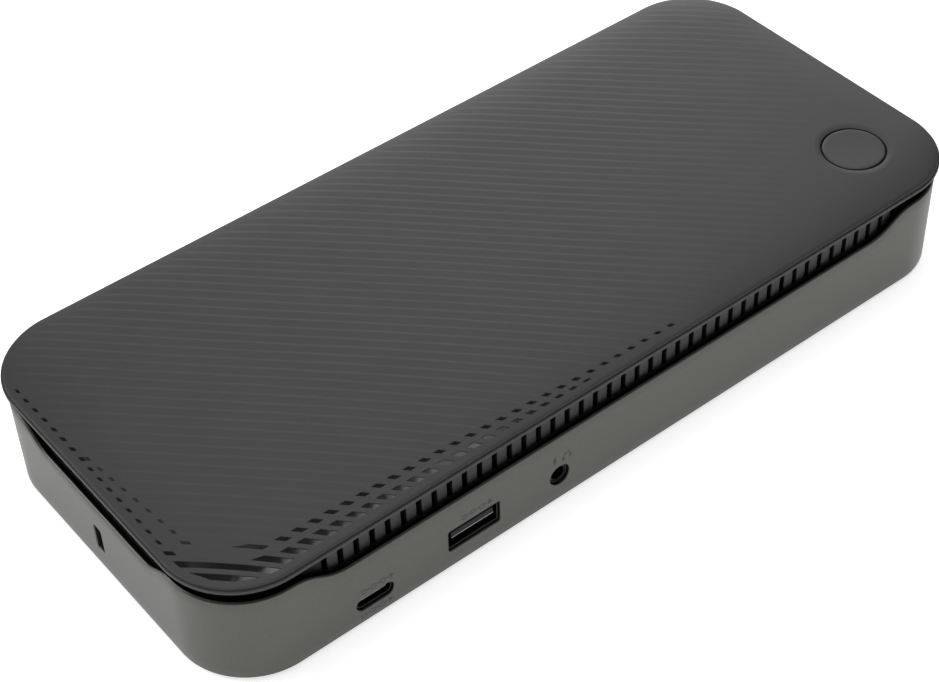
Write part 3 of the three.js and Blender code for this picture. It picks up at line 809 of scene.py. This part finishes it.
def bar(shape, face, size, middle, depths, slot=0, edge=0.1):
    """A bar with rounded corners and a bevelled front, running inwards."""
    width, height = size
    du, dz = middle
    near, far = depths

    def outline_at(cut):
        return [(u + du, v + dz) for u, v in
                rounded_rect(width - 2 * cut, height - 2 * cut, max(edge - cut, 0.02), 2)]

    tube(shape, face, [(outline_at(edge), near), (outline_at(0), near + edge),
                       (outline_at(0), far)], slot, CAPPED)


def make_shell(name, face, mouth, depth):
    """A socket's sheet-metal shell: rounded rim, thin wall and a back."""
    shape = Shape()
    rows = [(0, depth), (0, 0.12), (-0.04, 0.03), (-0.12, 0), (-0.2, 0.01), (-0.27, 0.05),
            (-SHELL_WALL, 0.14), (-SHELL_WALL, depth - 0.4)]
    sections = [(mouth_outline(mouth, grow), MOUTH_SETBACK + behind) for grow, behind in rows]
    tube(shape, face, sections, 0, (True, False))
    tube(shape, face, sections[-1:], 1, (True, False))
    shape.build(name + "_sheet", ["dark_steel", "black_plastic"], [name + "_shell"], 30)


TONGUES = {
    "pill": {"size": (6.7, 0.7), "rise": 0, "setback": 0.5, "pitch": 0.5, "contacts": 12,
             "width": 0.24, "sides": (-1, 1), "reach": 3.6},
    "flat": {"size": (11.1, 1.8), "rise": 0.7, "setback": 0.15, "pitch": 2.3, "contacts": 4,
             "width": 1.1, "sides": (-1,), "reach": 7.0},
    "tapered": {"size": (10.6, 1.3), "rise": 0.5, "setback": 1.0, "pitch": 0.9, "contacts": 10,
                "width": 0.42, "sides": (-1, 1), "reach": 6.0},
    "notched": {"size": (12, 1.2), "rise": 0.3, "setback": 1.0, "pitch": 1.0, "contacts": 10,
                "width": 0.46, "sides": (-1, 1), "reach": 6.0},
}


def make_tongue(name, face, mouth, depth):
    """A socket's plastic tongue with a bright strip along its front and its contacts."""
    shape = Shape()
    kind = TONGUES[mouth]
    width, thick = kind["size"]
    near = MOUTH_SETBACK + kind["setback"]
    far = MOUTH_SETBACK + depth - 0.5
    bar(shape, face, (width, thick), (0, kind["rise"]), (near, far), 0, min(0.18, thick / 3))
    strip = kind["rise"] - thick / 2 + 0.14 if mouth == "flat" else kind["rise"] + 0.2
    bar(shape, face, (width, 0.18), (0, strip), (near - 0.04, near + 0.3), 2, 0.04)
    for side in kind["sides"]:
        level = kind["rise"] + side * (thick / 2 + 0.02)
        for i in range(kind["contacts"]):
            u = (i - (kind["contacts"] - 1) / 2) * kind["pitch"]
            bar(shape, face, (kind["width"], 0.08), (u, level),
                (near + 0.45, near + kind["reach"]), 1, 0.03)
    materials = ["black_plastic", "gold_contact", "steel"]
    shape.build(name + "_core", materials, [name + "_tongue"], 30)


def turned(shape, face, rows, caps=CAPPED):
    """A part of a round socket, from rows of radius and depth behind the mouth."""
    sections = [(circle(0, 0, radius, 48), MOUTH_SETBACK + depth) for radius, depth in rows]
    return tube(shape, face, sections, 0, caps)


def make_jack():
    """The headphone socket: black body round a thin metal bush."""
    _, side, x, z, _, depth = JACK
    face = Face(side, x, z)
    body = Shape()
    turned(body, face, [(2.45, depth), (2.45, 0.15), (2.38, 0.03), (2.25, 0), (2.12, 0.02),
                        (2.05, 0.1), (2.05, 0.9), (1.8, 1.0), (1.8, 10.5), (0.3, 10.6)])
    body.build("audio_jack_barrel", ["black_plastic"], ["audio_jack_body"], 30)
    bush = Shape()
    loops = turned(bush, face, [(1.99, 1.35), (1.99, 0.3), (1.95, 0.2), (1.86, 0.17),
                                (1.77, 0.2), (1.74, 0.3), (1.74, 1.35)], OPEN)
    bush.bridge(loops[-1], loops[0])
    bush.build("audio_jack_ring", ["dark_steel"], ["audio_jack_bush"], 30)


def make_inlet():
    """The power inlet: a black barrel socket with a pin in its middle."""
    _, side, x, z, _, depth = INLET
    face = Face(side, x, z)
    body = Shape()
    turned(body, face, [(3.7, depth), (3.7, 0.3), (3.6, 0.1), (3.35, 0), (2.95, 0), (2.82, 0.1),
                        (2.8, 0.3), (2.8, 10), (0.3, 10.2)])
    body.build("power_inlet_barrel", ["black_plastic"], ["power_inlet_body"], 30)
    pin = Shape()
    turned(pin, face, [(0.1, 1.5), (0.55, 1.55), (0.85, 1.75), (1.0, 2.1), (1.0, 10.3)])
    pin.build("power_inlet_spike", ["steel"], ["power_inlet_pin"], 30)


# ---- Metal band ----

BAND_TOP = BAND_HIGH.z
BAND_CHAMFER = 0.42
BAND_RADIUS = CORNER_RADIUS - BAND_INSET
INNER_INSET = BAND_INSET + BAND_WALL
FRONT_NOTCH = (20.05, 73, 87.5)  # floor, half length of the floor, half length at the top
SIDE_NOTCH = (20.5, 17.5, 29.5)
LEDGE_BOTTOM, LEDGE_TOP, LEDGE_REACH = 2.7, 3.7, 1.4  # the ledge inside, over the base plate
INNER_DROP = 1.6  # how far the plain inner wall stops under the top edge
BEVEL = 0.16
CORNER_STEPS = 32
STRAIGHT_STEP = 1.5
WALL_ROWS = 8
QUARTER = BAND_RADIUS * math.pi / 2


def notch_height(distance, notch):
    """Height of the band's top edge at a distance from a notch's middle."""
    floor, half_floor, half_top = notch
    if distance >= half_top:
        return BAND_TOP
    if distance <= half_floor:
        return floor
    goal = (distance - half_floor) / (half_top - half_floor)
    low, high = 0.0, 1.0
    for _ in range(30):
        t = (low + high) / 2
        if 1.5 * t * (1 - t) + t ** 3 < goal:
            low = t
        else:
            high = t
    return floor + (BAND_TOP - floor) * (3 * t * t - 2 * t ** 3)


def band_top(x, y):
    return min(notch_height(abs(x), FRONT_NOTCH), notch_height(abs(y), SIDE_NOTCH))


# The way round the band, from the middle of the right end towards the rear: straight runs and
# corners, each with its length.
BAND_PATH = [("right", CORNER_Y), ("corner", QUARTER), ("rear", 2 * CORNER_X), ("corner", QUARTER),
             ("left", 2 * CORNER_Y), ("corner", QUARTER), ("front", 2 * CORNER_X),
             ("corner", QUARTER), ("last", CORNER_Y)]
BAND_LENGTH = sum(length for _, length in BAND_PATH)


def band_place(s, inset):
    """The point at distance s round the band, moved inwards from the lid's outline by inset."""
    corners = iter([(1, 1, 0), (-1, 1, 1), (-1, -1, 2), (1, -1, 3)])
    for kind, length in BAND_PATH:
        corner = next(corners) if kind == "corner" else None
        if s <= length + 1e-9:
            break
        s -= length
    if corner:
        sx, sy, quarter = corner
        angle = (quarter + s / length) * math.pi / 2
        radius = CORNER_RADIUS - inset
        return (sx * CORNER_X + radius * math.cos(angle), sy * CORNER_Y + radius * math.sin(angle))
    return {
        "right": (HALF_LENGTH - inset, s), "rear": (CORNER_X - s, HALF_WIDTH - inset),
        "left": (-HALF_LENGTH + inset, CORNER_Y - s), "front": (s - CORNER_X, -HALF_WIDTH + inset),
        "last": (HALF_LENGTH - inset, s - CORNER_Y),
    }[kind]


def band_stations():
    """Distances round the band: closer together in the corners than on the straight runs."""
    stations = []
    start = 0.0
    for kind, length in BAND_PATH:
        parts = CORNER_STEPS if kind == "corner" else max(8, round(length / STRAIGHT_STEP))
        stations.extend(start + length * i / parts for i in range(parts))
        start += length
    return stations + [BAND_LENGTH]


def hole_at(side, x, z, points):
    """A cut-out's outline as distances round the band and heights, counter-clockwise."""
    if side == FRONT:
        middle = sum(length for _, length in BAND_PATH[:6]) + CORNER_X + x
    elif side == REAR:
        middle = sum(length for _, length in BAND_PATH[:2]) + CORNER_X - x
    else:
        middle = sum(length for _, length in BAND_PATH[:4]) + CORNER_Y - x
    return [(middle + u, z + v) for u, v in points]


def band_holes(grow):
    """Every cut-out in the band, grown by grow."""
    holes = [hole_at(side, x, z, mouth_outline(mouth, CUTOUT_PLAY + grow))
             for _, side, x, z, mouth, _ in SOCKETS + [JACK, INLET, NETWORK]]
    slot = rounded_rect(LOCK_WIDTH + 2 * grow, LOCK_HEIGHT + 2 * grow, 0.6 + grow)
    return holes + [hole_at(LEFT, LOCK_Y, LOCK_Z, slot)]


def band_skin(shape, inset, holes, low, drop):
    """One vertical side of the band, its holes left open, from low up to drop under its top."""
    stations = band_stations()
    tops = [band_top(*band_place(s, BAND_INSET)) - drop for s in stations]
    points = [(s, low) for s in stations] + [(s, z) for s, z in zip(stations, tops)][::-1]
    loops = [list(range(len(points)))]
    for hole in holes:
        loops.append(list(range(len(points), len(points) + len(hole))))
        points.extend(hole)
    tests = OutlineTest(holes)
    for s, top in zip(stations, tops):
        for row in range(1, WALL_ROWS):
            z = low + (top - low) * row / WALL_ROWS
            if not tests.near(s, z, 0.35):
                points.append((s, z))
    flat, _, faces = triangulate(points, loops, lambda s, z: not tests.inside(s, z))
    ids = shape.add((*band_place(min(max(p.x, 0), BAND_LENGTH), inset), p.y) for p in flat)
    for face, s, z in faces:
        limit = band_top(*band_place(s, BAND_INSET)) - drop
        if z < limit + 0.02:
            shape.face([ids[i] for i in face])


def make_band():
    """The metal housing: bevelled bottom, top edge and cut-outs, and the ledge for the base."""
    shape = Shape()
    c = BAND_CHAMFER
    wide, tight = band_holes(BEVEL), band_holes(0)
    band_skin(shape, BAND_INSET, wide, BAND_LOW.z + c, c)
    band_skin(shape, INNER_INSET, tight, LEDGE_TOP, INNER_DROP)
    stations = band_stations()[:-1]
    tops = [band_top(*band_place(s, BAND_INSET)) for s in stations]

    def level(inset, drop):
        return [(*band_place(s, inset), top - drop) for s, top in zip(stations, tops)]

    def low_level(inset, z):
        return [(*band_place(s, inset), z) for s in stations]

    shape.skin([level(BAND_INSET, c), level(BAND_INSET + 0.06, 0.28),
                level(BAND_INSET + 0.34, 0.03), level(BAND_INSET + 0.46, 0.0),
                level(BAND_INSET + 0.56, 0.06), level(INNER_INSET, INNER_DROP)], 0, OPEN)
    shape.skin([low_level(inset, z) for inset, z in (
        (BAND_INSET, BAND_LOW.z + c), (BAND_INSET + 0.1, BAND_LOW.z + 0.1),
        (BAND_INSET + c, BAND_LOW.z), (INNER_INSET, BAND_LOW.z), (INNER_INSET, LEDGE_BOTTOM),
        (INNER_INSET + LEDGE_REACH, LEDGE_BOTTOM), (INNER_INSET + LEDGE_REACH, LEDGE_TOP),
        (INNER_INSET, LEDGE_TOP))], 0, OPEN)
    for outer, inner in zip(wide, tight):
        rings = [[(*band_place(s, inset), z) for s, z in loop] for loop, inset in (
            (outer, BAND_INSET), (inner, BAND_INSET + BEVEL), (inner, INNER_INSET))]
        shape.skin(rings, 0, OPEN)
    shape.build("body_housing", ["band_metal"], ["body_band"], 28)


# ---- Feet and base screws ----


def make_foot(node):
    """A soft bar-shaped foot with round ends and a rounded tread, finely grooved."""
    low, high = node_box(node)
    middle = (low + high) / 2
    length, width = high.x - low.x, high.y - low.y
    shape = Shape()
    rings = []
    for cut, z in ((0.0, high.z), (0.0, low.z + 0.35), (0.12, low.z + 0.12), (0.35, low.z),
                   (1.1, low.z), (1.25, low.z + 0.12), (1.6, low.z + 0.12), (1.75, low.z),
                   (2.6, low.z), (2.75, low.z + 0.12), (3.1, low.z + 0.12), (3.25, low.z)):
        radius = width / 2 - cut - 0.01
        rings.append([(middle.x + u, middle.y + v, z) for u, v in
                      rounded_rect(length - 2 * cut, width - 2 * cut, radius, 12)])
    shape.skin(rings)
    shape.build(node + "_pad", ["rubber"], [node], 30)


def make_screw(node):
    """A base screw: domed head with a cross recess, and its shank."""
    low, high = node_box(node)
    middle = (low + high) / 2
    radius = (high.x - low.x) / 2
    shape = Shape()
    count = 48

    def recess(angle):
        """How far the cross recess reaches in this direction."""
        turn = math.atan2(math.sin(4 * angle), math.cos(4 * angle)) / 4
        return min(1.15, 0.28 / max(abs(math.sin(turn)), 0.05))

    def loop_at(reach, z):
        return [(middle.x + reach(a) * math.cos(a), middle.y + reach(a) * math.sin(a), z)
                for a in (2 * math.pi * i / count for i in range(count))]

    rings = [loop_at(lambda a: recess(a) * 0.45, low.z + 0.5), loop_at(recess, low.z + 0.02)]
    for share, rise in ((0.62, 0.0), (0.86, 0.05), (0.96, 0.14), (1.0, 0.3), (1.0, 0.7)):
        rings.append(loop_at(lambda a, share=share: radius * share, low.z + rise))
    rings += [loop_at(lambda a: 1.0, low.z + 0.7), loop_at(lambda a: 1.0, high.z)]
    shape.skin(rings)
    shape.build(node + "_head", ["steel"], [node], 30)


# ---- Printed icons ----


def icon_plate(shape, face, points):
    """A flat printed figure on a face, a hair proud of the metal."""
    tube(shape, face, [(points, 0.01), (points, -0.012)], 0, CAPPED)


def icon_hoop(shape, face, u, radius, stroke):
    """A printed ring round a point at u."""
    outer, inner = circle(u, 0, radius, 28), circle(u, 0, radius - stroke, 28)
    tube(shape, face, [(outer, 0.01), (outer, -0.012), (inner, -0.012), (inner, 0.01)])


def icon_bow(shape, face, middle, radius, stroke):
    """The upper half of a printed ring."""
    arcs = []
    for r in (radius, radius - stroke):
        arcs.append([(middle[0] + r * math.cos(math.pi * i / 14),
                      middle[1] + r * math.sin(math.pi * i / 14)) for i in range(15)])
    icon_plate(shape, face, arcs[0] + arcs[1][::-1])


def icon_block(shape, face, low, high):
    """A printed rectangle between two corners."""
    icon_plate(shape, face, [low, (high[0], low[1]), high, (low[0], high[1])])


def cable_icon(shape, face, middle):
    """Three rings on a line that ends in an arrow."""
    for step in range(3):
        u = middle - 3.2 + 2.3 * step
        icon_hoop(shape, face, u, 0.72, 0.2)
        icon_block(shape, face, (u + 0.85, -0.12), (u + 1.45, 0.12))
    icon_plate(shape, face, [(middle + 3.2, -0.8), (middle + 4.3, 0), (middle + 3.2, 0.8)])


def headphone_icon(shape, face, middle):
    """A headphone: a bow with a pad at each end."""
    icon_bow(shape, face, (middle, -0.3), 1.1, 0.25)
    for side in (-1, 1):
        u = middle + side * 0.98
        icon_block(shape, face, (u - 0.26, -1.2), (u + 0.26, -0.25))


def microphone_icon(shape, face, middle):
    """A microphone: a capsule on a stand."""
    icon_plate(shape, face, [(middle + u, v + 0.3) for u, v in rounded_rect(0.8, 1.6, 0.38, 3)])
    icon_block(shape, face, (middle - 0.13, -1.3), (middle + 0.13, -0.5))


def make_icons():
    """Plain pictures by the front sockets."""
    shape = Shape()
    for _, side, x, z, mouth, _ in SOCKETS[:2]:
        cable_icon(shape, Face(side, x, z + (3.6 if mouth == "pill" else 4.9)), 0.6)
        if mouth == "pill":
            cable_icon(shape, Face(side, x, z - 3.5), 0.0)
    _, side, x, z, _, _ = JACK
    microphone_icon(shape, Face(side, x, z + 5.0), -1.4)
    headphone_icon(shape, Face(side, x, z + 5.1), 1.9)
    shape.build("front_icons", ["print"])


# ---- Scene ----


def make_camera():
    """Looks down on the front left corner. The angles are those of an orbit around the middle of
    the band's lower edge, then the camera slides a little in its own plane to frame the object."""
    azimuth, elevation, roll = (math.radians(v) for v in (-37.282, 44.168, -2.220))
    distance, slide_right, slide_up = 485.17, -5.625, 0.437
    back = Vector((math.sin(azimuth) * math.cos(elevation),
                   -math.cos(azimuth) * math.cos(elevation), math.sin(elevation)))
    right = (-back).cross(Vector((0, 0, 1))).normalized()
    up = right.cross(-back)
    right, up = (right * math.cos(roll) + up * math.sin(roll),
                 up * math.cos(roll) - right * math.sin(roll))
    target = Vector((0, 0, BAND_LOW.z))
    data = bpy.data.cameras.new("camera")
    data.sensor_width = 36
    data.lens = 80.80
    data.clip_start = 0.01
    camera = bpy.data.objects.new("camera", data)
    bpy.context.scene.collection.objects.link(camera)
    place = (target + back * distance + right * slide_right + up * slide_up) * MM
    turn = Matrix((right, up, back)).transposed()
    camera.matrix_world = Matrix.Translation(place) @ turn.to_4x4()
    bpy.context.scene.camera = camera


def add_light(name, place, aim, size, watts):
    """A rectangular area light; place, aim and size in metres."""
    data = bpy.data.lights.new(name, "AREA")
    data.shape = "RECTANGLE"
    data.size, data.size_y = size
    data.energy = watts
    light = bpy.data.objects.new(name, data)
    bpy.context.scene.collection.objects.link(light)
    light.location = place
    light.rotation_euler = (Vector(aim) - Vector(place)).to_track_quat("-Z", "Y").to_euler()


def make_studio():
    """A white table under soft light that comes mostly from above and behind."""
    floor_material, _, _, shader = new_material("studio_floor")
    shader.inputs["Base Color"].default_value = (0.80, 0.80, 0.80, 1)
    shader.inputs["Roughness"].default_value = 0.9
    shader.inputs["Specular IOR Level"].default_value = 0.1
    shader.inputs["Emission Color"].default_value = (1, 1, 1, 1)
    shader.inputs["Emission Strength"].default_value = 0.72
    bpy.ops.mesh.primitive_plane_add(size=12, location=(0, 0, 0))
    floor = bpy.context.object
    floor.name = "studio_floor"
    floor.data.materials.append(floor_material)
    world = bpy.data.worlds.new("studio")
    world.use_nodes = True
    background = world.node_tree.nodes["Background"]
    background.inputs["Color"].default_value = (1, 1, 1, 1)
    background.inputs["Strength"].default_value = 0.13
    bpy.context.scene.world = world
    add_light("overhead", (-0.015, 0.075, 1.25), (-0.015, 0.075, 0), (1.18, 0.7), 7.7)
    add_light("back_card", (0.55, 1.0, 1.25), (0.55, 1.0, 0), (1.1, 0.6), 0.8)
    add_light("back_left", (-1.1, 1.0, 0.7), (0, 0, 0), (0.9, 0.7), 9)
    add_light("back_right", (0.9, 1.1, 0.5), (0, 0, 0), (1.0, 0.3), 7)
    add_light("front_fill", (0.3, -1.5, 0.6), (0, 0, 0), (1.4, 0.5), 0.6)
    bpy.context.scene.view_settings.view_transform = "Standard"


def dress_cad():
    """Procedural materials for every CAD node, by its slot; the chips and the coil share one."""
    chips = ("hub_chip", "video_chip", "network_chip", "power_coil")
    for part in frame["record"]["subparts"]:
        key = "chip" if part["node"] in chips else part["material_slot"]
        mesh = frame["nodes"][part["node"]].data
        mesh.materials.clear()
        mesh.materials.append(MATERIALS[key])


make_camera()
make_studio()
dress_cad()
make_lid()
make_button()
make_return_dome()
make_vents()
make_band()
for name, side, x, z, mouth, depth in SOCKETS:
    face = Face(side, x, z)
    make_shell(name, face, mouth, depth)
    make_tongue(name, face, mouth, depth)
make_jack()
make_inlet()
for index in range(1, 5):
    make_foot(f"foot_{index}")
    make_screw(f"base_screw_{index}")
make_icons()
